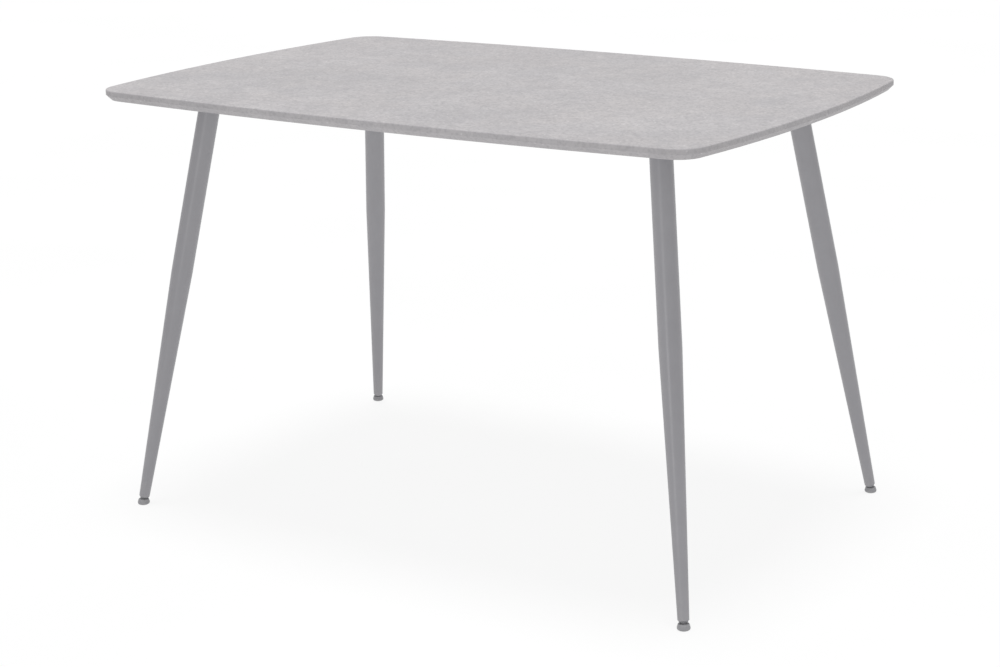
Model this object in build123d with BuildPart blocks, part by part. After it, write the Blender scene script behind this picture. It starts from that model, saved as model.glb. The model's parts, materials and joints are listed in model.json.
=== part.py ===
from build123d import *
import math
import os

# Rectangular dining table: a thin bowed panel on four splayed, tapered tube legs.
# Millimetres. X runs along the table, Y across it, Z up, with the origin on the floor under the centre.

# Panel outline: four shallow arcs joined by rounded corners
TOP_LENGTH = 1200
TOP_WIDTH = 800
END_BOW = 32
SIDE_BOW = 25
CORNER_R = 50

# Panel build-up, from the top face down
TABLE_HEIGHT = 750
PANEL_T = 18
UNDERCUT = 9
FILM_T = 0.6
TOP_EDGE_R = 2
CORE_EDGE_R = 1.4
SHEET_INSET = 9.9

# Leg axes, from the ball of the glide up to the mounting plate
BALL_X = 549
BALL_Y = 350
BALL_Z = 7
LEG_TOP_X = 444
LEG_TOP_Y = 233

# Leg tube, with distances measured up the leg from the ball
TUBE_R = 18.4
TUBE_END_R = 9.2
TUBE_WALL = 1.5
TUBE_END = 7.7
TAPER_TOP = 423.7
TUBE_LIP_R = 0.9
TUBE_TRIM = 20

# Mounting plate with its weld and fasteners
PLATE_SIDE = 120
PLATE_T = 4
PLATE_CORNER_R = 14
PLATE_EDGE_R = 0.6
BOLT_SPACING = 88
BOLT_HOLE_R = 3.3
WELD_LEG = 3.2
WELD_TOE = 0.4
WELD_HEIGHT = 3.4
WASHER_R = 6
WASHER_BORE_R = 3.2
WASHER_T = 1.6
SCREW_R = 3
SCREW_LENGTH = 16
SCREW_TIP = 0.6
HEAD_R = 5.25
HEAD_H = 3.3
HEAD_EDGE_R = 1.6
SOCKET_AF = 4
SOCKET_DEPTH = 2.1
INSERT_R = 5
INSERT_LENGTH = 13
INSERT_BORE_R = 3.05
INSERT_HOLE_DEPTH = 14

# Levelling glide, with heights up the leg from the ball
PLUG_LENGTH = 20
PLUG_GAP = 0.03
STEM_R = 4
STEM_BORE_R = 4.05
STEM_START = 7.45
STEM_LENGTH = 25
STEM_TIP = 1
NECK_R = 3
NECK_BORE_R = 3.05
BALL_R = 5.6
RING_R = 7.6
RING_LOW = 5.6
RING_HIGH = 7.4
RING_EDGE_R = 0.5

# Foot of the glide, with heights above the floor
SOCKET_R = 5.65
LIP_R = 4.9
MOUTH_R = 5.2
FOOT_TOP = 10.5
CROWN_R = 6.2
SHOULDER_R = 9
SHOULDER_Z = 9.6
FOOT_R = 10.6
WIDEST_Z = 4
FOOT_BASE_R = 10.2
FOOT_BASE_Z = 0.4
SHOULDER_EDGE_R = 1.6
WIDEST_EDGE_R = 2
BASE_EDGE_R = 2.4
PAD_R = 8
PAD_TOP = 0.9
PAD_EDGE_R = 0.3

# Worked out from the dimensions above
UNDERSIDE = TABLE_HEIGHT - PANEL_T
CORE_BOTTOM = UNDERSIDE + FILM_T
PLATE_BOTTOM = UNDERSIDE - PLATE_T
WASHER_BOTTOM = PLATE_BOTTOM - WASHER_T
LEGS = {
    "front_left": (-1, -1),
    "front_right": (1, -1),
    "back_left": (-1, 1),
    "back_right": (1, 1),
}

os.makedirs("parts", exist_ok=True)


def save(builder, name):
    """Labels a finished piece and writes it as one STEP file."""
    builder.part.label = name
    export_step(builder.part, f"parts/{name}.step")


def arc_radius(chord, bow):
    """The radius of an arc that rises by bow over a chord."""
    return ((chord / 2) ** 2 + bow**2) / (2 * bow)


def outline(inset):
    """The panel's outline, moved inwards by inset. Call it inside a BuildSketch."""
    side_r = arc_radius(TOP_LENGTH, SIDE_BOW)
    end_r = arc_radius(TOP_WIDTH, END_BOW)
    side_y = TOP_WIDTH / 2 - side_r
    end_x = TOP_LENGTH / 2 - end_r
    with Locations((0, side_y)):
        Circle(side_r - inset)
    with Locations((0, -side_y)):
        Circle(side_r - inset, mode=Mode.INTERSECT)
    with Locations((end_x, 0)):
        Circle(end_r - inset, mode=Mode.INTERSECT)
    with Locations((-end_x, 0)):
        Circle(end_r - inset, mode=Mode.INTERSECT)


def panel_block(inset, undercut, top_edge_r, top):
    """A slab with the panel's outline, an undercut rim and a softened top edge."""
    with BuildPart() as block:
        with BuildSketch(Plane.XY.offset(UNDERSIDE)):
            outline(inset)
        extrude(amount=top - UNDERSIDE)
        fillet(block.edges().filter_by(Axis.Z), radius=CORNER_R - inset)
        chamfer(block.faces().sort_by(Axis.Z)[0].edges(), length=undercut)
        fillet(block.faces().sort_by(Axis.Z)[-1].edges(), radius=top_edge_r)
    return block.part


def bolt_spots():
    """The four bolt positions of every mounting plate."""
    grid = GridLocations(BOLT_SPACING, BOLT_SPACING, 2, 2)
    return [
        (side_x * LEG_TOP_X + spot.position.X, side_y * LEG_TOP_Y + spot.position.Y)
        for side_x, side_y in LEGS.values()
        for spot in grid
    ]


# The panel's film slopes with the undercut, so its inner face is deeper there than on the upright rim.
film_body = panel_block(0, UNDERCUT, TOP_EDGE_R, TABLE_HEIGHT)
slope_inset = UNDERCUT + FILM_T * math.sqrt(2) - FILM_T
inner_body = panel_block(FILM_T, slope_inset, CORE_EDGE_R, TABLE_HEIGHT - FILM_T)

with BuildPart() as decor_film:
    add(film_body)
    add(inner_body, mode=Mode.SUBTRACT)
save(decor_film, "decor_film")

with BuildPart() as tabletop_core:
    add(inner_body)
    split(bisect_by=Plane.XY.offset(CORE_BOTTOM), keep=Keep.TOP)
    with BuildSketch(Plane.XY.offset(CORE_BOTTOM)):
        with Locations(*bolt_spots()):
            Circle(INSERT_R)
    extrude(amount=INSERT_HOLE_DEPTH, mode=Mode.SUBTRACT)
save(tabletop_core, "tabletop_core")

with BuildPart() as backing_sheet:
    with BuildSketch(Plane.XY.offset(UNDERSIDE)):
        outline(SHEET_INSET)
    extrude(amount=FILM_T)
    fillet(backing_sheet.edges().filter_by(Axis.Z), radius=CORNER_R - SHEET_INSET)
    with BuildSketch(Plane.XY.offset(UNDERSIDE)):
        with Locations(*bolt_spots()):
            Circle(INSERT_R)
    extrude(amount=FILM_T, mode=Mode.SUBTRACT)
save(backing_sheet, "backing_sheet")


def leg_frame(side_x, side_y):
    """A plane at the glide's ball, with its normal pointing up the leg."""
    ball = Vector(side_x * BALL_X, side_y * BALL_Y, BALL_Z)
    top = Vector(side_x * LEG_TOP_X, side_y * LEG_TOP_Y, PLATE_BOTTOM)
    along = (top - ball).normalized()
    return Plane(origin=ball, x_dir=Vector(0, 0, 1).cross(along), z_dir=along)


def section_of(frame):
    """The plane through a frame's normal, where x is the radius and y is the height."""
    return Plane(origin=frame.origin, x_dir=frame.x_dir, z_dir=-frame.y_dir)


def tube_radius(height):
    """The tube's outer radius at a height up the leg."""
    rise = min(max(height, TUBE_END), TAPER_TOP) - TUBE_END
    return TUBE_END_R + (TUBE_R - TUBE_END_R) * rise / (TAPER_TOP - TUBE_END)


def make_tube(name, frame):
    """A straight round tube that tapers down to the foot and is cut level under the plate."""
    top = (PLATE_BOTTOM - BALL_Z) / frame.z_dir.Z + TUBE_TRIM
    with BuildPart() as tube:
        with BuildSketch(section_of(frame)) as section:
            with BuildLine():
                Polyline(
                    (TUBE_END_R - TUBE_WALL, TUBE_END),
                    (TUBE_END_R, TUBE_END),
                    (TUBE_R, TAPER_TOP),
                    (TUBE_R, top),
                    (TUBE_R - TUBE_WALL, top),
                    (TUBE_R - TUBE_WALL, TAPER_TOP),
                    close=True,
                )
            make_face()
            fillet(section.vertices().sort_by_distance((TUBE_END_R, TUBE_END))[0], radius=TUBE_LIP_R)
        revolve(axis=Axis(frame.origin, frame.z_dir))
        split(bisect_by=Plane.XY.offset(PLATE_BOTTOM), keep=Keep.BOTTOM)
    save(tube, f"{name}_leg_tube")


def make_plate(name, side_x, side_y):
    """The steel plate that holds the leg to the panel."""
    with BuildPart() as plate:
        with BuildSketch(Plane((side_x * LEG_TOP_X, side_y * LEG_TOP_Y, PLATE_BOTTOM))):
            RectangleRounded(PLATE_SIDE, PLATE_SIDE, PLATE_CORNER_R)
            with GridLocations(BOLT_SPACING, BOLT_SPACING, 2, 2):
                Circle(BOLT_HOLE_R, mode=Mode.SUBTRACT)
        extrude(amount=PLATE_T)
        rim = plate.faces().sort_by(Axis.Z)[0].outer_wire().edges()
        fillet(rim, radius=PLATE_EDGE_R)
    save(plate, f"{name}_mounting_plate")


def make_weld(name, frame, side_x, side_y):
    """The weld bead between tube and plate, which follows the tube's slanted foot print."""
    lean = Vector(BALL_X * side_x, BALL_Y * side_y) - Vector(LEG_TOP_X * side_x, LEG_TOP_Y * side_y)
    shift = lean * (WELD_HEIGHT / (PLATE_BOTTOM - BALL_Z))
    turn = math.degrees(math.atan2(lean.Y, lean.X))
    long_r = TUBE_R / frame.z_dir.Z
    centre = Vector(side_x * LEG_TOP_X, side_y * LEG_TOP_Y, PLATE_BOTTOM)
    with BuildPart() as weld:
        with BuildSketch(Plane(centre)):
            Ellipse(long_r + WELD_LEG, TUBE_R + WELD_LEG, rotation=turn)
        with BuildSketch(Plane(centre + shift - Vector(0, 0, WELD_HEIGHT))):
            Ellipse(long_r + WELD_TOE, TUBE_R + WELD_TOE, rotation=turn)
        loft()
        with BuildSketch(frame.offset(TAPER_TOP)):
            Circle(TUBE_R)
        extrude(amount=(PLATE_BOTTOM - BALL_Z) / frame.z_dir.Z, mode=Mode.SUBTRACT)
    save(weld, f"{name}_weld_bead")


def make_fasteners(name, side_x, side_y):
    """The four screws, washers and threaded inserts of one mounting plate."""
    centre = (side_x * LEG_TOP_X, side_y * LEG_TOP_Y)
    washer_plane = Plane((*centre, WASHER_BOTTOM))
    with BuildPart() as screws:
        with BuildSketch(washer_plane):
            with GridLocations(BOLT_SPACING, BOLT_SPACING, 2, 2):
                Circle(SCREW_R)
        extrude(amount=SCREW_LENGTH)
        chamfer(screws.edges().group_by(Axis.Z)[-1], length=SCREW_TIP)
        with BuildSketch(washer_plane):
            with GridLocations(BOLT_SPACING, BOLT_SPACING, 2, 2):
                Circle(HEAD_R)
        extrude(amount=-HEAD_H)
        fillet(screws.edges().group_by(Axis.Z)[0], radius=HEAD_EDGE_R)
        with BuildSketch(washer_plane.offset(-HEAD_H)):
            with GridLocations(BOLT_SPACING, BOLT_SPACING, 2, 2):
                RegularPolygon(SOCKET_AF / 2, 6, major_radius=False)
        extrude(amount=SOCKET_DEPTH, mode=Mode.SUBTRACT)
    save(screws, f"{name}_plate_screws")

    with BuildPart() as washers:
        with BuildSketch(washer_plane):
            with GridLocations(BOLT_SPACING, BOLT_SPACING, 2, 2):
                Circle(WASHER_R)
                Circle(WASHER_BORE_R, mode=Mode.SUBTRACT)
        extrude(amount=WASHER_T)
    save(washers, f"{name}_plate_washers")

    with BuildPart() as inserts:
        with BuildSketch(Plane((*centre, CORE_BOTTOM))):
            with GridLocations(BOLT_SPACING, BOLT_SPACING, 2, 2):
                Circle(INSERT_R)
                Circle(INSERT_BORE_R, mode=Mode.SUBTRACT)
        extrude(amount=INSERT_LENGTH)
    save(inserts, f"{name}_threaded_inserts")


def make_plug(name, frame):
    """The tapered nut pressed into the end of the tube."""
    wall = TUBE_WALL + PLUG_GAP
    high = TUBE_END + PLUG_LENGTH
    with BuildPart() as plug:
        with BuildSketch(section_of(frame)):
            with BuildLine():
                Polyline(
                    (STEM_BORE_R, TUBE_END),
                    (TUBE_END_R - wall, TUBE_END),
                    (tube_radius(high) - wall, high),
                    (STEM_BORE_R, high),
                    close=True,
                )
            make_face()
        revolve(axis=Axis(frame.origin, frame.z_dir))
    save(plug, f"{name}_leg_nut")


def make_ring(name, frame):
    """The ring between foot and leg, which rides up and down with the stem."""
    with BuildPart() as ring:
        with BuildSketch(frame.offset(RING_LOW)):
            Circle(RING_R)
            Circle(NECK_BORE_R, mode=Mode.SUBTRACT)
        extrude(amount=RING_HIGH - RING_LOW)
        fillet(ring.edges().filter_by(GeomType.CIRCLE).group_by(SortBy.RADIUS)[-1], radius=RING_EDGE_R)
    save(ring, f"{name}_neck_ring")


def make_stem(name, frame):
    """The ball stud that screws into the leg nut."""
    high = STEM_START + STEM_LENGTH
    neck_base = math.sqrt(BALL_R**2 - NECK_R**2)
    with BuildPart() as stem:
        with BuildSketch(section_of(frame)):
            with BuildLine():
                Line((0, -BALL_R), (0, high))
                Polyline(
                    (0, high),
                    (STEM_R - STEM_TIP, high),
                    (STEM_R, high - STEM_TIP),
                    (STEM_R, STEM_START),
                    (NECK_R, STEM_START),
                    (NECK_R, neck_base),
                )
                ThreePointArc((NECK_R, neck_base), (BALL_R, 0), (0, -BALL_R))
            make_face()
        revolve(axis=Axis(frame.origin, frame.z_dir))
    save(stem, f"{name}_ball_stem")


def make_foot(name, side_x, side_y):
    """The domed foot, level on the floor, that snaps over the ball, and the pad under it."""
    upright = Plane(origin=(side_x * BALL_X, side_y * BALL_Y, 0), x_dir=(1, 0, 0), z_dir=(0, -1, 0))
    axis = Axis(upright.origin, (0, 0, 1))
    lip_z = BALL_Z + math.sqrt(SOCKET_R**2 - LIP_R**2)
    with BuildPart() as foot:
        with BuildSketch(upright) as profile:
            with BuildLine():
                Polyline(
                    (0, BALL_Z - SOCKET_R),
                    (0, PAD_TOP),
                    (PAD_R, PAD_TOP),
                    (PAD_R, FOOT_BASE_Z),
                    (FOOT_BASE_R, FOOT_BASE_Z),
                    (FOOT_R, WIDEST_Z),
                    (SHOULDER_R, SHOULDER_Z),
                    (CROWN_R, FOOT_TOP),
                    (MOUTH_R, FOOT_TOP),
                    (LIP_R, lip_z),
                )
                ThreePointArc((LIP_R, lip_z), (SOCKET_R, BALL_Z), (0, BALL_Z - SOCKET_R))
            make_face()
            for corner, radius in (
                ((FOOT_BASE_R, FOOT_BASE_Z), BASE_EDGE_R),
                ((FOOT_R, WIDEST_Z), WIDEST_EDGE_R),
                ((SHOULDER_R, SHOULDER_Z), SHOULDER_EDGE_R),
            ):
                fillet(profile.vertices().sort_by_distance(corner)[0], radius=radius)
        revolve(axis=axis)
    save(foot, f"{name}_swivel_foot")

    with BuildPart() as pad:
        with BuildSketch(Plane(upright.origin)):
            Circle(PAD_R)
        extrude(amount=PAD_TOP)
        fillet(pad.edges().group_by(Axis.Z)[0], radius=PAD_EDGE_R)
    save(pad, f"{name}_foot_pad")


for leg, (leg_x, leg_y) in LEGS.items():
    leg_axis = leg_frame(leg_x, leg_y)
    make_tube(leg, leg_axis)
    make_plate(leg, leg_x, leg_y)
    make_weld(leg, leg_axis, leg_x, leg_y)
    make_fasteners(leg, leg_x, leg_y)
    make_plug(leg, leg_axis)
    make_ring(leg, leg_axis)
    make_stem(leg, leg_axis)
    make_foot(leg, leg_x, leg_y)
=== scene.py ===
# %% [markdown]
# # A dining table with a concrete-look top
# The table is already modelled as solid parts: a thin bowed panel, four splayed legs and the small
# hardware that holds them. This lesson loads those parts as a fixed frame and gives them their looks.
# Nothing in the frame is moved. A part is either given a better material, or a more detailed piece
# stands for it.

# %% Load the frame and remember its box
import bpy
import json
import math
from mathutils import Matrix, Vector


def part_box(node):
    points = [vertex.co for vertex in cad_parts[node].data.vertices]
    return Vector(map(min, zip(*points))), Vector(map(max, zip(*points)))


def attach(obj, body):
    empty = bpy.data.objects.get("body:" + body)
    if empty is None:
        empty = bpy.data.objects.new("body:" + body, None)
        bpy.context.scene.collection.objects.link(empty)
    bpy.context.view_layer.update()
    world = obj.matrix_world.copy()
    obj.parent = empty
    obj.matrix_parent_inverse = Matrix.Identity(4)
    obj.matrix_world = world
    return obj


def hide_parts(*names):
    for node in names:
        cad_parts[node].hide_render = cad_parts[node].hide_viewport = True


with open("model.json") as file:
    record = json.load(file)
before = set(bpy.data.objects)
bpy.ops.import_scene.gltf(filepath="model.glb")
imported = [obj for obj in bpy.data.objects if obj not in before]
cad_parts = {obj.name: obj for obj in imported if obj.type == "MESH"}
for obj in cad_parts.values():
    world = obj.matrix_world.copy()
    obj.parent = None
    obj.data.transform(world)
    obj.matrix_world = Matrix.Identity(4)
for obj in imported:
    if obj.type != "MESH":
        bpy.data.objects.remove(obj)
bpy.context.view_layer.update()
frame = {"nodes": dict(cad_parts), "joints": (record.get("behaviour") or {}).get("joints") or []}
LEGS = ("front_left", "front_right", "back_left", "back_right")
joints = {joint["name"]: joint for joint in frame["joints"]}

# %% [markdown]
# ## Two helpers for node trees
# Shader trees and geometry trees are both made of nodes and links, so one helper serves both. It adds
# a node, sets its options, and then fills its inputs. An input takes either a fixed value or the
# output of an earlier node. The second helper is for arithmetic, which reads badly as bare nodes.

# %% Helpers: one node, and one sum
def node(tree, kind, values=None, **options):
    """Adds a node. values maps an input's name or number to a fixed value or to another node's output."""
    made = tree.nodes.new(kind)
    for name, value in options.items():
        setattr(made, name, value)
    for key, value in (values or {}).items():
        if isinstance(value, bpy.types.NodeSocket):
            tree.links.new(value, made.inputs[key])
        else:
            made.inputs[key].default_value = value
    return made


def calc(tree, operation, *terms):
    """Adds a Math node on numbers or outputs, and gives its result."""
    return node(tree, "ShaderNodeMath", dict(enumerate(terms)), operation=operation).outputs[0]


def spread(tree, value, low, high, new_low=0.0, new_high=1.0, smooth=True):
    """Stretches the part of a value between low and high over new_low to new_high, and clamps the rest."""
    values = {"Value": value, "From Min": low, "From Max": high, "To Min": new_low, "To Max": new_high}
    kind = "SMOOTHSTEP" if smooth else "LINEAR"
    return node(tree, "ShaderNodeMapRange", values, interpolation_type=kind).outputs["Result"]


def linear(red, green, blue):
    """A colour given as 0 to 255 on screen, as the linear numbers that shaders work with."""
    scaled = [part / 255 for part in (red, green, blue)]
    return (*[part / 12.92 if part <= 0.04045 else ((part + 0.055) / 1.055) ** 2.4 for part in scaled], 1.0)


# %% [markdown]
# ## Shared surface effects
# Printed decor, powder coat, moulded nylon and zinc have different colours, but they are uneven in
# the same few ways: soft patches, a fine grain, sparse specks, and a little dust near the floor.
# Each effect is a node group that is built once. A material places the group and sets its own sizes.
# A group could also hold the whole shader, but groups of masks and colours mix more freely.

# %% A helper that starts a shader group
def start_group(name, inputs, outputs):
    """A new shader group with its sockets. inputs and outputs map a name to a socket kind and a default."""
    group = bpy.data.node_groups.new(name, "ShaderNodeTree")
    for direction, sockets in (("INPUT", inputs), ("OUTPUT", outputs)):
        for label, (kind, default) in sockets.items():
            socket = group.interface.new_socket(label, in_out=direction, socket_type=f"NodeSocket{kind}")
            if default is not None:
                socket.default_value = default
    return group, group.nodes.new("NodeGroupInput").outputs, group.nodes.new("NodeGroupOutput").inputs


# %% [markdown]
# ### Soft patches
# Pigment is never spread perfectly evenly. Smooth noise, stretched so that only its middle range
# shows, gives rounded patches that fade into each other. The patch size is in metres, so it means
# the same on a foot of 20 mm as on a top of 1.2 m.

# %% Group: soft patches between two colours
patches, given, result = start_group(
    "Soft patches",
    {
        "Vector": ("Vector", None),
        "Color": ("Color", (0.5, 0.5, 0.5, 1)),
        "Patch Color": ("Color", (0.6, 0.6, 0.6, 1)),
        "Patch Size": ("Float", 0.05),
        "Amount": ("Float", 0.5),
    },
    {"Color": ("Color", None), "Mask": ("Float", None)},
)
scale = calc(patches, "DIVIDE", 1.0, given["Patch Size"])
noise = node(
    patches,
    "ShaderNodeTexNoise",
    {"Vector": given["Vector"], "Scale": scale, "Detail": 5.0, "Roughness": 0.55, "Distortion": 0.35},
)
mask = spread(patches, noise.outputs["Fac"], 0.36, 0.64)
share = calc(patches, "MULTIPLY", mask, given["Amount"])
mixed = node(
    patches,
    "ShaderNodeMix",
    {"Factor": share, 6: given["Color"], 7: given["Patch Color"]},
    data_type="RGBA",
)
patches.links.new(mixed.outputs[2], result["Color"])
patches.links.new(mask, result["Mask"])
print("Soft patches:", [item.name for item in patches.interface.items_tree])

# %% [markdown]
# ### Fine grain
# Under a raking light every coating shows a texture far smaller than the part: the orange peel of
# powder coat, the spark-eroded skin of a mould. Grain that is only bump would vanish at a distance,
# so the group also varies the roughness, which keeps highlights from looking like glass.

# %% Group: fine grain as height and roughness
grain, given, result = start_group(
    "Fine grain",
    {
        "Vector": ("Vector", None),
        "Grain Size": ("Float", 0.001),
        "Smoothest": ("Float", 0.4),
        "Roughest": ("Float", 0.5),
    },
    {"Height": ("Float", None), "Roughness": ("Float", None)},
)
BROAD_SCALE = 0.07
FINE_SHARE = 0.4
scale = calc(grain, "DIVIDE", 1.0, given["Grain Size"])
fine = node(
    grain,
    "ShaderNodeTexNoise",
    {"Vector": given["Vector"], "Scale": scale, "Detail": 2.0, "Roughness": 0.5},
)
broad_scale = calc(grain, "MULTIPLY", scale, BROAD_SCALE)
broad = node(
    grain,
    "ShaderNodeTexNoise",
    {"Vector": given["Vector"], "Scale": broad_scale, "Detail": 3.0, "Roughness": 0.6},
)
both = calc(grain, "ADD", calc(grain, "MULTIPLY", fine.outputs["Fac"], FINE_SHARE), broad.outputs["Fac"])
rough = spread(grain, both, 0.5, 0.9, given["Smoothest"], given["Roughest"], smooth=False)
grain.links.new(fine.outputs["Fac"], result["Height"])
grain.links.new(rough, result["Roughness"])
print("Fine grain:", [item.name for item in grain.interface.items_tree])

# %% [markdown]
# ### Sparse specks
# Concrete has pinholes and pale aggregate, and fibreboard has darker fibres. Each cell of a Voronoi
# pattern holds one possible speck. The cell's own random colour decides whether it appears, so the
# share of cells that are used sets how sparse the specks are.

# %% Group: sparse specks
specks, given, result = start_group(
    "Sparse specks",
    {
        "Vector": ("Vector", None),
        "Spacing": ("Float", 0.01),
        "Speck Radius": ("Float", 0.001),
        "Share": ("Float", 0.3),
    },
    {"Mask": ("Float", None)},
)
scale = calc(specks, "DIVIDE", 1.0, given["Spacing"])
cells = node(specks, "ShaderNodeTexVoronoi", {"Vector": given["Vector"], "Scale": scale})
reach = calc(specks, "DIVIDE", given["Speck Radius"], given["Spacing"])
inside = calc(specks, "DIVIDE", cells.outputs["Distance"], reach)
dot = spread(specks, inside, 1.0, 0.35)
chance = node(specks, "ShaderNodeSeparateColor", {"Color": cells.outputs["Color"]}).outputs["Red"]
used = calc(specks, "LESS_THAN", chance, given["Share"])
specks.links.new(calc(specks, "MULTIPLY", dot, used), result["Mask"])
print("Sparse specks:", [item.name for item in specks.interface.items_tree])

# %% [markdown]
# ### Dust near the floor
# Even a new table picks up a little dust around its feet. The mask is full at the floor, fades out
# by a given height, and is broken up by noise so that it has no straight upper edge.

# %% Group: dust near the floor
dust, given, result = start_group(
    "Floor dust",
    {"Vector": ("Vector", None), "Reach": ("Float", 0.05), "Amount": ("Float", 0.2)},
    {"Mask": ("Float", None)},
)
DUST_CLUMP = 0.006
height = node(dust, "ShaderNodeSeparateXYZ", {"Vector": given["Vector"]}).outputs["Z"]
fade = spread(dust, calc(dust, "DIVIDE", height, given["Reach"]), 1.0, 0.0)
clumps = node(
    dust, "ShaderNodeTexNoise", {"Vector": given["Vector"], "Scale": 1 / DUST_CLUMP, "Detail": 4.0}
)
broken = spread(dust, clumps.outputs["Fac"], 0.35, 0.7)
dust.links.new(
    calc(dust, "MULTIPLY", calc(dust, "MULTIPLY", fade, broken), given["Amount"]), result["Mask"]
)
print("Floor dust:", [item.name for item in dust.interface.items_tree])

# %% [markdown]
# ## Materials
# A small function starts each material: it adds the Principled shader, whose fixed numbers are set
# on its own sockets, and the object coordinates that all the patterns share. Because every part lies
# at its true place, a pattern runs on across parts without a jump.

# %% A helper that starts a material
def start_material(name, **fixed):
    """A new material's tree, its Principled shader and its object coordinates. fixed sets plain sockets."""
    material = bpy.data.materials.new(name)
    material.use_nodes = True
    tree = material.node_tree
    shader = tree.nodes["Principled BSDF"]
    for label, value in fixed.items():
        shader.inputs[label.replace("_", " ")].default_value = value
    return material, tree, shader, node(tree, "ShaderNodeTexCoord").outputs["Object"]


def tint(tree, color, other, mask):
    """Mixes one colour into another where a mask is bright."""
    mixed = node(tree, "ShaderNodeMix", {"Factor": mask, 6: color, 7: other}, data_type="RGBA")
    return mixed.outputs[2]


def effect(tree, group, **values):
    """Places one of the shared groups and gives its outputs. An underscore in a name is a space."""
    named = {label.replace("_", " "): value for label, value in values.items()}
    return node(tree, "ShaderNodeGroup", named, node_tree=group).outputs


def relief(tree, shader, height, depth):
    """Raises the surface by a height pattern whose full range is depth, in metres."""
    bump = node(tree, "ShaderNodeBump", {"Height": height, "Distance": depth})
    tree.links.new(bump.outputs["Normal"], shader.inputs["Normal"])


# %% [markdown]
# ### The concrete-look film
# The top isn't concrete. It is a printed film, pressed over a board, and the print is what makes it
# read as cast cement: wide clouds, tighter mottling, fine sand, a few pinholes and pale grains. Every
# layer is weak, and together they shift the grey by only a few parts in a hundred. A stronger
# pattern would look like stone. The same coordinates wrap over the rim, so the print runs round the
# edge as the real film does. The press stretches the film there, which softens the print, so the slope
# of the surface mixes in one plain tone on the rim and on the undercut. That tone is darker than the
# top, so it is also painted shade: the sloped faces are darkened in colour as if less light fell on them.

# %% Material: concrete-look film
CONCRETE = linear(182, 179, 180)
CONCRETE_CLOUD = linear(164, 162, 164)
CONCRETE_MOTTLE = linear(150, 148, 151)
CONCRETE_SAND = linear(138, 136, 138)
CONCRETE_WARM = linear(181, 176, 175)
PINHOLE = linear(122, 120, 121)
PALE_GRAIN = linear(208, 205, 206)
RIM_PLAIN_AND_SHADE_TONE = linear(164, 162, 165)
RIM_SOFTENING_AND_SHADE = 0.35
CLOUD_SIZE = 0.24
WARMTH_SIZE = 0.11
MOTTLES = ((0.045, 0.22), (0.016, 0.28))
SECOND_LAYER = (3.1, 1.7, 0.4)
FILM_RELIEF = 0.00008
film, tree, shader, place = start_material("Concrete-look film", **{"Specular IOR Level": 0.3})
shifted = node(tree, "ShaderNodeMapping", {"Vector": place, "Location": SECOND_LAYER}).outputs["Vector"]
tones = {"Color": CONCRETE, "Patch_Color": CONCRETE_CLOUD}
clouds = effect(tree, patches, Vector=place, Patch_Size=CLOUD_SIZE, Amount=0.5, **tones)
warmth = effect(tree, patches, Vector=shifted, Patch_Size=WARMTH_SIZE, Amount=1.0)["Mask"]
color = tint(tree, clouds["Color"], CONCRETE_WARM, calc(tree, "MULTIPLY", warmth, 0.35))
for size, share in MOTTLES:
    mottle = effect(tree, patches, Vector=shifted, Patch_Size=size, Amount=1.0)["Mask"]
    color = tint(tree, color, CONCRETE_MOTTLE, calc(tree, "MULTIPLY", mottle, share))
sand = effect(tree, grain, Vector=place, Grain_Size=0.0045, Smoothest=0.52, Roughest=0.66)
sand_share = calc(tree, "MULTIPLY", spread(tree, sand["Height"], 0.42, 0.72), 0.5)
color = tint(tree, color, CONCRETE_SAND, sand_share)
pinholes = effect(tree, specks, Vector=place, Spacing=0.011, Speck_Radius=0.0013, Share=0.35)["Mask"]
color = tint(tree, color, PINHOLE, calc(tree, "MULTIPLY", pinholes, 0.8))
pale = effect(tree, specks, Vector=shifted, Spacing=0.012, Speck_Radius=0.0024, Share=0.4)["Mask"]
color = tint(tree, color, PALE_GRAIN, calc(tree, "MULTIPLY", pale, 0.6))
normal = node(tree, "ShaderNodeNewGeometry").outputs["Normal"]
slope = calc(tree, "ABSOLUTE", node(tree, "ShaderNodeSeparateXYZ", {"Vector": normal}).outputs["Z"])
# Painted shade and softer print: the slope mixes a darker plain tone into the rim and the undercut.
color = tint(tree, color, RIM_PLAIN_AND_SHADE_TONE, spread(tree, slope, 0.98, 0.8, 0.0, RIM_SOFTENING_AND_SHADE))
tree.links.new(color, shader.inputs["Base Color"])
tree.links.new(sand["Roughness"], shader.inputs["Roughness"])
bumps = calc(tree, "MULTIPLY", sand["Height"], 0.4)
relief(tree, shader, calc(tree, "SUBTRACT", bumps, pinholes), FILM_RELIEF)
print(film.name, "uses", len(tree.nodes), "nodes")

# %% [markdown]
# ### Powder coat
# The legs are steel tube with a baked powder finish. It is one even grey, so the work is in the
# surface: fine orange peel, and a satin gloss that draws one soft light strip down each tube. The
# coat is pigment in plastic, so the shader isn't metallic.

# %% Material: powder coat, for tubes, plates and welds
STEEL_GREY = linear(148, 147, 151)
STEEL_GREY_LIGHT = linear(151, 150, 154)
DUST = linear(178, 175, 171)


def powder_coat(name, peel, depth):
    """Satin powder coat. peel is the size of its orange peel and depth its height, in metres."""
    material, tree, shader, place = start_material(name, **{"Specular IOR Level": 0.45})
    tones = {"Color": STEEL_GREY, "Patch_Color": STEEL_GREY_LIGHT}
    tone = effect(tree, patches, Vector=place, Patch_Size=0.03, Amount=0.6, **tones)
    surface = effect(tree, grain, Vector=place, Grain_Size=peel, Smoothest=0.28, Roughest=0.34)
    settled = effect(tree, dust, Vector=place, Reach=0.09, Amount=0.16)["Mask"]
    tree.links.new(tint(tree, tone["Color"], DUST, settled), shader.inputs["Base Color"])
    tree.links.new(surface["Roughness"], shader.inputs["Roughness"])
    relief(tree, shader, surface["Height"], depth)
    print(material.name, "has orange peel of", 1000 * peel, "mm")
    return material


tube_coat = powder_coat("Leg powder coat", 0.0011, 0.000012)
plate_coat = powder_coat("Plate powder coat", 0.0016, 0.00005)

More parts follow.
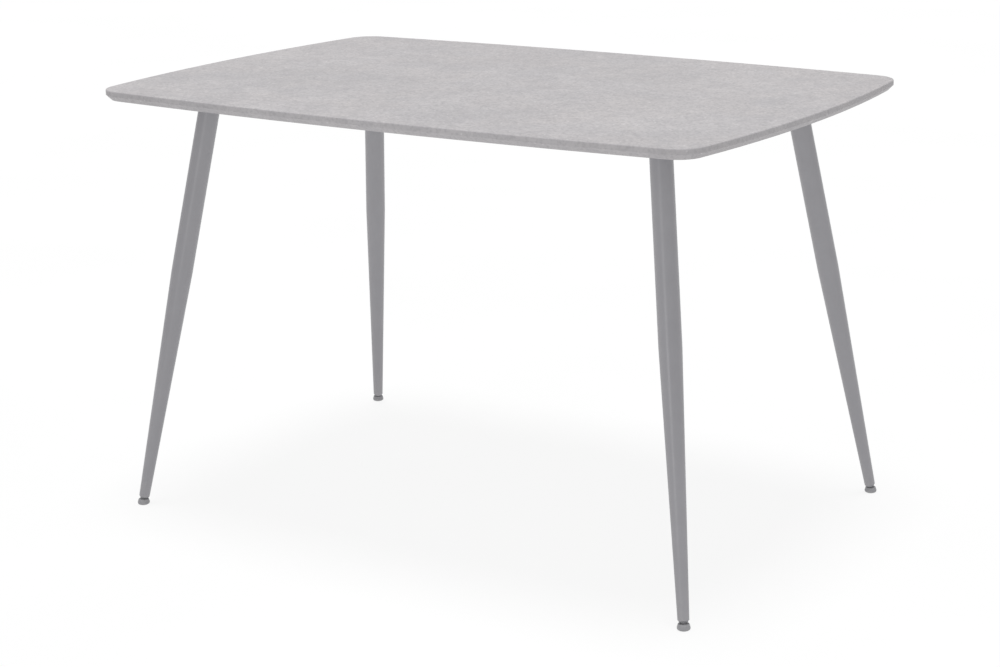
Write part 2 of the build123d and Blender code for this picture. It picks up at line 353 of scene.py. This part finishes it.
# %% [markdown]
# ### Zinc-plated steel
# Screws, washers and the glide's stem are steel with a thin bright zinc layer. Zinc is metallic and
# slightly blue, and its shine is broken up by tumbling in the plating barrel, so the roughness
# follows a coarse grain instead of a polish.

# %% Material: zinc-plated steel
ZINC = linear(204, 207, 211)
ZINC_DULL = linear(176, 178, 182)
zinc, tree, shader, place = start_material("Zinc-plated steel", Metallic=1.0)
tone = effect(tree, patches, Vector=place, Color=ZINC, Patch_Color=ZINC_DULL, Patch_Size=0.004, Amount=0.6)
surface = effect(tree, grain, Vector=place, Grain_Size=0.0006, Smoothest=0.24, Roughest=0.42)
tree.links.new(tone["Color"], shader.inputs["Base Color"])
tree.links.new(surface["Roughness"], shader.inputs["Roughness"])
relief(tree, shader, surface["Height"], 0.00001)

# %% [markdown]
# ### Moulded nylon and the soft pad
# The feet are injection-moulded in a grey that matches the legs. Their skin copies the spark-eroded
# mould, so it is duller than the powder coat. The pad under each foot is a soft rubber, nearly matt,
# and the part that picks up most dust.

# %% Materials: moulded nylon and pad rubber
def moulded(name, color, lighter, skin, depth, smoothest, roughest, dusty):
    """A moulded plastic or rubber with a matt skin and dust from the floor."""
    material, tree, shader, place = start_material(name, **{"Specular IOR Level": 0.4})
    tones = {"Color": color, "Patch_Color": lighter}
    tone = effect(tree, patches, Vector=place, Patch_Size=0.006, Amount=0.5, **tones)
    surface = effect(tree, grain, Vector=place, Grain_Size=skin, Smoothest=smoothest, Roughest=roughest)
    settled = effect(tree, dust, Vector=place, Reach=0.02, Amount=dusty)["Mask"]
    tree.links.new(tint(tree, tone["Color"], DUST, settled), shader.inputs["Base Color"])
    tree.links.new(surface["Roughness"], shader.inputs["Roughness"])
    relief(tree, shader, surface["Height"], depth)
    return material


NYLON = linear(146, 146, 149)
NYLON_LIGHT = linear(151, 151, 154)
RUBBER = linear(96, 96, 99)
RUBBER_LIGHT = linear(104, 103, 105)
nylon = moulded("Moulded nylon", NYLON, NYLON_LIGHT, 0.0005, 0.00002, 0.46, 0.56, 0.12)
rubber = moulded("Pad rubber", RUBBER, RUBBER_LIGHT, 0.0004, 0.00003, 0.7, 0.82, 0.35)

# %% [markdown]
# ### Fibreboard and its backing
# The board shows only where the film and the backing sheet leave a gap, but it still gets its own
# finish: brown, with darker fibres. The backing sheet is plain pale paper that keeps the board from
# warping, with the faint clouding of unprinted stock.

# %% Materials: fibreboard and backing sheet
BOARD = linear(168, 139, 103)
BOARD_LIGHT = linear(184, 156, 120)
FIBRE = linear(120, 92, 62)
board, tree, shader, place = start_material("Fibreboard")
tones = {"Color": BOARD, "Patch_Color": BOARD_LIGHT}
tone = effect(tree, patches, Vector=place, Patch_Size=0.004, Amount=0.8, **tones)
fibres = effect(tree, specks, Vector=place, Spacing=0.0016, Speck_Radius=0.0005, Share=0.5)["Mask"]
surface = effect(tree, grain, Vector=place, Grain_Size=0.0005, Smoothest=0.75, Roughest=0.9)
tree.links.new(tint(tree, tone["Color"], FIBRE, fibres), shader.inputs["Base Color"])
tree.links.new(surface["Roughness"], shader.inputs["Roughness"])
relief(tree, shader, surface["Height"], 0.00005)

BACKING = linear(196, 195, 192)
BACKING_LIGHT = linear(203, 202, 200)
backing, tree, shader, place = start_material("Backing sheet", **{"Specular IOR Level": 0.3})
tones = {"Color": BACKING, "Patch_Color": BACKING_LIGHT}
tone = effect(tree, patches, Vector=place, Patch_Size=0.05, Amount=0.8, **tones)
surface = effect(tree, grain, Vector=place, Grain_Size=0.0012, Smoothest=0.55, Roughest=0.68)
tree.links.new(tone["Color"], shader.inputs["Base Color"])
tree.links.new(surface["Roughness"], shader.inputs["Roughness"])
relief(tree, shader, surface["Height"], 0.00002)
print("materials:", sorted(material.name for material in bpy.data.materials if material.use_nodes))

# %% [markdown]
# ## Finishing the frame's own parts
# Most parts already have the right shape, so they only change their material. Parts are named after
# what they are, and the end of the name picks the finish.

# %% Give every part of the frame its finish
FINISHES = {
    "decor_film": film,
    "tabletop_core": board,
    "backing_sheet": backing,
    "leg_tube": tube_coat,
    "mounting_plate": plate_coat,
    "weld_bead": plate_coat,
    "plate_screws": zinc,
    "plate_washers": zinc,
    "threaded_inserts": zinc,
    "leg_nut": zinc,
    "ball_stem": zinc,
    "neck_ring": nylon,
    "swivel_foot": nylon,
    "foot_pad": rubber,
}
for name, part in frame["nodes"].items():
    finish = next(material for ending, material in FINISHES.items() if name.endswith(ending))
    part.data.materials.clear()
    part.data.materials.append(finish)
print("finished", len(frame["nodes"]), "parts")

# %% [markdown]
# ## Geometry Nodes: a helper
# Two details repeat along a path: the thread of each stem and the ripples of each weld. Both are
# built as Geometry Nodes trees with named sizes, so that the rule stays visible and one change
# alters all copies. The finished tree is turned into a plain mesh and its modifier is dropped.

# %% Helpers: start a geometry tree, and turn its result into a piece
def start_tree(name, sizes):
    """A new geometry tree with one named number input for each size. Gives the tree and its inputs."""
    tree = bpy.data.node_groups.new(name, "GeometryNodeTree")
    tree.is_modifier = True
    for label, default in sizes.items():
        kind = "NodeSocketInt" if isinstance(default, int) else "NodeSocketFloat"
        tree.interface.new_socket(label, in_out="INPUT", socket_type=kind).default_value = default
    tree.interface.new_socket("Geometry", in_out="OUTPUT", socket_type="NodeSocketGeometry")
    return tree, tree.nodes.new("NodeGroupInput").outputs


def end_tree(tree, geometry, material, cover=None, where=None):
    """Closes a geometry tree: real geometry, one material, and a cover on the faces that a mask picks."""
    made = node(tree, "GeometryNodeRealizeInstances", {"Geometry": geometry}).outputs[0]
    made = node(tree, "GeometryNodeSetMaterial", {"Geometry": made, "Material": material}).outputs[0]
    if cover:
        picked = {"Geometry": made, "Selection": where, "Material": cover}
        made = node(tree, "GeometryNodeSetMaterial", picked).outputs[0]
    out = tree.nodes.new("NodeGroupOutput")
    tree.links.new(made, out.inputs[0])


def grow(name, tree, sizes, pose):
    """Runs a geometry tree with its own sizes and gives a plain mesh object, put in place by pose."""
    seed = bpy.data.objects.new(name, bpy.data.meshes.new(name + "_seed"))
    bpy.context.scene.collection.objects.link(seed)
    modifier = seed.modifiers.new("Shape", "NODES")
    modifier.node_group = tree
    labels = {item.name: item.identifier for item in tree.interface.items_tree if item.in_out == "INPUT"}
    for label, value in sizes.items():
        modifier[labels[label]] = value
    grown = bpy.data.meshes.new_from_object(seed.evaluated_get(bpy.context.evaluated_depsgraph_get()))
    grown.name = name
    seed.modifiers.clear()
    grown.transform(pose)
    seed.data = grown
    print(f"{name}: {len(grown.polygons)} faces")
    return seed


def upright_on(origin, upward):
    """The placing matrix whose origin is a point and whose Z runs along a direction."""
    turn = Vector(upward).to_track_quat("Z", "Y").to_matrix().to_4x4()
    return Matrix.Translation(origin) @ turn


# %% [markdown]
# ## The threaded stem
# The stem is a ball, a neck and a threaded shank, turned from one bar. As a shape it is a radius
# that changes with height, so a straight line is given that radius and swept into a tube. The thread
# is then cut by moving points inwards: at each point, the height in pitches minus the angle in turns
# gives its place across the groove. Winding a separate ridge round a rod would leave two shells that
# cut through each other, and this way leaves one closed skin. The ball and the neck are moulded over
# with the foot's nylon, so the faces below the shank get that material and the rest is zinc.

# %% Tree: a ball stem with a cut thread
BALL_R = 0.0056
NECK_R = 0.0030
SHANK_R = 0.0040
SHANK_START = 0.00745
SHANK_END = 0.03245
THREAD_PITCH = 0.00125
THREAD_DEPTH = 0.00068
TIP_CHAMFER = 0.0010
GROOVE_ROOT = 0.125
GROOVE_CREST = 0.75
RUN_IN_START = 0.0004
RUN_IN_END = 0.0014
MERGE_DISTANCE = 1e-6
stem_tree, given = start_tree(
    "Threaded ball stem",
    {
        "Ball Radius": BALL_R,
        "Neck Radius": NECK_R,
        "Shank Radius": SHANK_R,
        "Shank Start": SHANK_START,
        "Shank End": SHANK_END,
        "Pitch": THREAD_PITCH,
        "Thread Depth": THREAD_DEPTH,
        "Rings": 280,
        "Sides": 40,
    },
)
t = stem_tree
low = node(t, "ShaderNodeCombineXYZ", {"Z": calc(t, "MULTIPLY", given["Ball Radius"], -1.0)}).outputs[0]
high = node(t, "ShaderNodeCombineXYZ", {"Z": given["Shank End"]}).outputs[0]
line = node(t, "GeometryNodeCurvePrimitiveLine", {"Start": low, "End": high}).outputs["Curve"]
line = node(t, "GeometryNodeResampleCurve", {"Curve": line, "Count": given["Rings"]}).outputs["Curve"]
spot = node(t, "ShaderNodeSeparateXYZ", {"Vector": t.nodes.new("GeometryNodeInputPosition").outputs[0]})
height = spot.outputs["Z"]
ball_square = calc(t, "POWER", given["Ball Radius"], 2.0)
left_over = calc(t, "SUBTRACT", ball_square, calc(t, "MULTIPLY", height, height))
ball = calc(t, "SQRT", calc(t, "MAXIMUM", left_over, 0.0))
neck = calc(t, "MULTIPLY", calc(t, "GREATER_THAN", height, 0.0), given["Neck Radius"])
on_shank = calc(t, "GREATER_THAN", height, given["Shank Start"])
to_tip = calc(t, "SUBTRACT", given["Shank End"], height)
tip = calc(t, "ADD", to_tip, calc(t, "SUBTRACT", given["Shank Radius"], TIP_CHAMFER))
shank = calc(t, "MULTIPLY", on_shank, calc(t, "MINIMUM", given["Shank Radius"], tip))
radius = calc(t, "MAXIMUM", shank, calc(t, "MAXIMUM", ball, neck))
circle = {"Resolution": given["Sides"], "Radius": 1.0}
ring = node(t, "GeometryNodeCurvePrimitiveCircle", circle).outputs["Curve"]
swept = {"Curve": line, "Profile Curve": ring, "Scale": radius, "Fill Caps": True}
body = node(t, "GeometryNodeCurveToMesh", swept).outputs[0]

angle = calc(t, "ARCTAN2", spot.outputs["Y"], spot.outputs["X"])
turns = calc(t, "SUBTRACT", calc(t, "DIVIDE", height, given["Pitch"]), calc(t, "DIVIDE", angle, math.tau))
across = calc(t, "ABSOLUTE", calc(t, "SUBTRACT", calc(t, "MULTIPLY", calc(t, "FRACT", turns), 2.0), 1.0))
groove = spread(t, across, GROOVE_ROOT, GROOVE_CREST, 1.0, 0.0, smooth=False)
run_in = spread(t, calc(t, "SUBTRACT", height, given["Shank Start"]), RUN_IN_START, RUN_IN_END)
cut = calc(t, "MULTIPLY", calc(t, "MULTIPLY", groove, run_in), given["Thread Depth"])
outward = node(t, "ShaderNodeCombineXYZ", {"X": spot.outputs["X"], "Y": spot.outputs["Y"]}).outputs[0]
outward = node(t, "ShaderNodeVectorMath", {0: outward}, operation="NORMALIZE").outputs[0]
depth = calc(t, "MULTIPLY", cut, -1.0)
inward = node(t, "ShaderNodeVectorMath", {0: outward, "Scale": depth}, operation="SCALE")
body = node(t, "GeometryNodeSetPosition", {"Geometry": body, "Offset": inward.outputs[0]}).outputs[0]
body = node(t, "GeometryNodeMergeByDistance", {"Geometry": body, "Distance": MERGE_DISTANCE}).outputs[0]
body = node(t, "GeometryNodeSetShadeSmooth", {"Geometry": body}).outputs[0]
end_tree(t, body, zinc, nylon, calc(t, "LESS_THAN", height, given["Shank Start"]))

# %% Make the four stems
for leg in LEGS:
    spin = joints[f"{leg}_stem_spin"]
    pose = upright_on(spin["pos_m"], -Vector(spin["axis"]))
    stem = grow(f"{leg}_threaded_stem", stem_tree, {}, pose)
    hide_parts(f"{leg}_ball_stem")
    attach(stem, f"{leg}_stem")

# %% [markdown]
# ## The rippled weld
# A weld between a leaning tube and a flat plate follows an ellipse. The welder's torch moves in
# small steps, and each step freezes as a ripple. The tree bends a circle into that ellipse, sweeps a
# round bead along it, and swells and shrinks the bead once for each ripple. A little noise keeps the
# ripples from being identical. It depends only on place, so every run gives the same bead.

# %% Tree: a weld bead with ripples
TUBE_R = 0.0184
BEAD_R = 0.0021
BEAD_OUT = 0.0006
RIPPLE = 0.0016
RIPPLE_HEIGHT = 0.10
WAVER = 0.12
WAVER_SCALE = 260.0
weld_tree, given = start_tree(
    "Rippled weld",
    {
        "Long Radius": TUBE_R,
        "Short Radius": TUBE_R,
        "Bead Radius": BEAD_R,
        "Ripple Length": RIPPLE,
        "Ripple Height": RIPPLE_HEIGHT,
        "Waver": WAVER,
        "Rings": 640,
        "Sides": 14,
    },
)
t = weld_tree
circle = {"Resolution": given["Rings"], "Radius": 1.0}
loop = node(t, "GeometryNodeCurvePrimitiveCircle", circle).outputs["Curve"]
radii = {"X": given["Long Radius"], "Y": given["Short Radius"], "Z": 1.0}
oval = node(t, "ShaderNodeCombineXYZ", radii).outputs[0]
here = t.nodes.new("GeometryNodeInputPosition").outputs[0]
oval = node(t, "ShaderNodeVectorMath", {0: here, 1: oval}, operation="MULTIPLY").outputs[0]
loop = node(t, "GeometryNodeSetPosition", {"Geometry": loop, "Position": oval}).outputs[0]
along = t.nodes.new("GeometryNodeSplineParameter").outputs["Length"]
phase = calc(t, "FRACT", calc(t, "DIVIDE", along, given["Ripple Length"]))
step = calc(t, "MULTIPLY", calc(t, "SUBTRACT", calc(t, "POWER", phase, 0.5), 0.5), given["Ripple Height"])
wobble = node(t, "ShaderNodeTexNoise", {"Vector": here, "Scale": WAVER_SCALE, "Detail": 2.0}).outputs["Fac"]
wobble = calc(t, "MULTIPLY", calc(t, "SUBTRACT", wobble, 0.5), given["Waver"])
swell = calc(t, "MULTIPLY", given["Bead Radius"], calc(t, "ADD", 1.0, calc(t, "ADD", step, wobble)))
circle = {"Resolution": given["Sides"], "Radius": 1.0}
ring = node(t, "GeometryNodeCurvePrimitiveCircle", circle).outputs["Curve"]
bead = node(t, "GeometryNodeCurveToMesh", {"Curve": loop, "Profile Curve": ring, "Scale": swell}).outputs[0]
bead = node(t, "GeometryNodeSetShadeSmooth", {"Geometry": bead}).outputs[0]
end_tree(t, bead, plate_coat)

# %% Make the four welds
for leg in LEGS:
    plate_low, plate_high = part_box(f"{leg}_mounting_plate")
    lean = -Vector(joints[f"{leg}_stem_spin"]["axis"])
    centre = Vector(((plate_low.x + plate_high.x) / 2, (plate_low.y + plate_high.y) / 2, plate_low.z))
    centre -= lean * (BEAD_OUT / lean.z)
    turn = Matrix.Rotation(math.atan2(lean.y, lean.x), 4, "Z")
    radii = {"Long Radius": TUBE_R / lean.z + BEAD_OUT, "Short Radius": TUBE_R + BEAD_OUT}
    weld = grow(f"{leg}_rippled_weld", weld_tree, radii, Matrix.Translation(centre) @ turn)
    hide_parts(f"{leg}_weld_bead")
    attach(weld, "table")

# %% [markdown]
# ## Floor, light and camera
# The table stands on a plain pale floor. Product studios often use a light table for this: a white
# sheet that is lit from below, so that it stays white under the object and the shadow almost
# vanishes. The floor does the same with a little emission on top of its own pale grey. Its underside
# is transparent, so the table can also be looked at from below.

# %% The floor
FLOOR_HALF = 30.0
FLOOR_GLOW = 0.87
FLOOR_PALE = linear(87, 87, 87)
FLOOR_PALER = linear(93, 93, 93)
floor_paint, tree, shader, place = start_material(
    "Pale studio floor", Roughness=0.9, Emission_Strength=FLOOR_GLOW, **{"Specular IOR Level": 0.0}
)
shader.inputs["Emission Color"].default_value = (1.0, 1.0, 1.0, 1.0)
tones = {"Color": FLOOR_PALE, "Patch_Color": FLOOR_PALER}
tone = effect(tree, patches, Vector=place, Patch_Size=0.8, Amount=0.5, **tones)
tree.links.new(tone["Color"], shader.inputs["Base Color"])
behind = node(tree, "ShaderNodeNewGeometry").outputs["Backfacing"]
clear = node(tree, "ShaderNodeBsdfTransparent").outputs[0]
either = node(tree, "ShaderNodeMixShader", {0: behind, 1: shader.outputs[0], 2: clear}).outputs[0]
tree.links.new(either, tree.nodes["Material Output"].inputs["Surface"])
corners = [(x * FLOOR_HALF, y * FLOOR_HALF, 0.0) for x, y in ((-1, -1), (1, -1), (1, 1), (-1, 1))]
floor_mesh = bpy.data.meshes.new("studio_floor")
floor_mesh.from_pydata(corners, [], [(0, 1, 2, 3)])
floor_mesh.materials.append(floor_paint)
floor = bpy.data.objects.new("studio_floor", floor_mesh)
bpy.context.scene.collection.objects.link(floor)
print("floor normal", tuple(floor_mesh.polygons[0].normal))

# %% [markdown]
# A product table in a catalogue is lit so softly that it casts almost no shadow. An even white sky
# does most of that. A second light comes from straight above, like a bank of lamps behind a diffuser:
# it makes the top brighter than its rim, which is what shows the thin edge and the slope under it. A
# sun lamp with a wide angle gives such light evenly over the whole floor.

# %% Sky and overhead light
SKY_STRENGTH = 0.65
OVERHEAD_STRENGTH = 2.2
OVERHEAD_SPREAD = 20.0
world = bpy.data.worlds.new("Even sky")
world.use_nodes = True
world.node_tree.nodes["Background"].inputs["Color"].default_value = (1.0, 1.0, 1.0, 1.0)
world.node_tree.nodes["Background"].inputs["Strength"].default_value = SKY_STRENGTH
bpy.context.scene.world = world
overhead_data = bpy.data.lights.new("overhead_light", "SUN")
overhead_data.energy = OVERHEAD_STRENGTH
overhead_data.angle = math.radians(OVERHEAD_SPREAD)
overhead = bpy.data.objects.new("overhead_light", overhead_data)
bpy.context.scene.collection.objects.link(overhead)
print("sky", SKY_STRENGTH, "and overhead light", OVERHEAD_STRENGTH)

# %% [markdown]
# The third light is a tall softbox low in front of the table, to the left of the camera. A round leg
# mirrors it as one soft upright strip, and that strip is what makes the leg look round. A narrow
# spread, like a grid on a real softbox, sends most of its light to the upper half of the legs, where
# the top takes away the light of the sky. The lamp itself is hidden from the camera.

# %% The softbox
SOFTBOX_SPOT = Vector((0.5, -3.3, 0.55))
SOFTBOX_AIM = Vector((0.2, 0.0, 0.75))
SOFTBOX_WIDTH = 0.65
SOFTBOX_HEIGHT = 1.0
SOFTBOX_POWER = 0.65
SOFTBOX_SPREAD = 40.0
softbox_data = bpy.data.lights.new("softbox", "AREA")
softbox_data.shape = "RECTANGLE"
softbox_data.size = SOFTBOX_WIDTH
softbox_data.size_y = SOFTBOX_HEIGHT
softbox_data.spread = math.radians(SOFTBOX_SPREAD)
softbox_data.energy = SOFTBOX_POWER
softbox = bpy.data.objects.new("softbox", softbox_data)
turn = (SOFTBOX_AIM - SOFTBOX_SPOT).to_track_quat("-Z", "Y").to_matrix().to_4x4()
softbox.matrix_world = Matrix.Translation(SOFTBOX_SPOT) @ turn
softbox.visible_camera = False
bpy.context.scene.collection.objects.link(softbox)
bpy.context.scene.view_settings.view_transform = "Standard"
print("softbox of", SOFTBOX_POWER, "W with a spread of", SOFTBOX_SPREAD, "degrees")

# %% [markdown]
# The camera stands off the right-hand front corner, a little above the top, with a long lens. The
# long lens keeps the legs nearly parallel in perspective. The frame is shifted instead of tilted, so
# that the table sits in the middle while the camera keeps its own aim.

# %% The camera
CAMERA_SPOT = (1.992, -2.998, 1.327)
CAMERA_TURN = 0.5519
CAMERA_DOWN = 0.2393
CAMERA_ROLL = -0.0109
LENS_MM = 76.49
SENSOR_MM = 36.0
SHIFT_ACROSS = -0.0749
SHIFT_UP = -0.0801
camera_data = bpy.data.cameras.new("camera")
camera_data.sensor_width = SENSOR_MM
camera_data.lens = LENS_MM
camera_data.shift_x = SHIFT_ACROSS
camera_data.shift_y = SHIFT_UP
camera_data.clip_end = 100.0
camera = bpy.data.objects.new("camera", camera_data)
aim = Matrix.Rotation(CAMERA_TURN, 4, "Z") @ Matrix.Rotation(math.pi / 2 - CAMERA_DOWN, 4, "X")
camera.matrix_world = Matrix.Translation(CAMERA_SPOT) @ aim @ Matrix.Rotation(CAMERA_ROLL, 4, "Z")
bpy.context.scene.collection.objects.link(camera)
bpy.context.scene.camera = camera
print("camera", [round(part, 3) for part in camera.location], "lens", camera_data.lens)
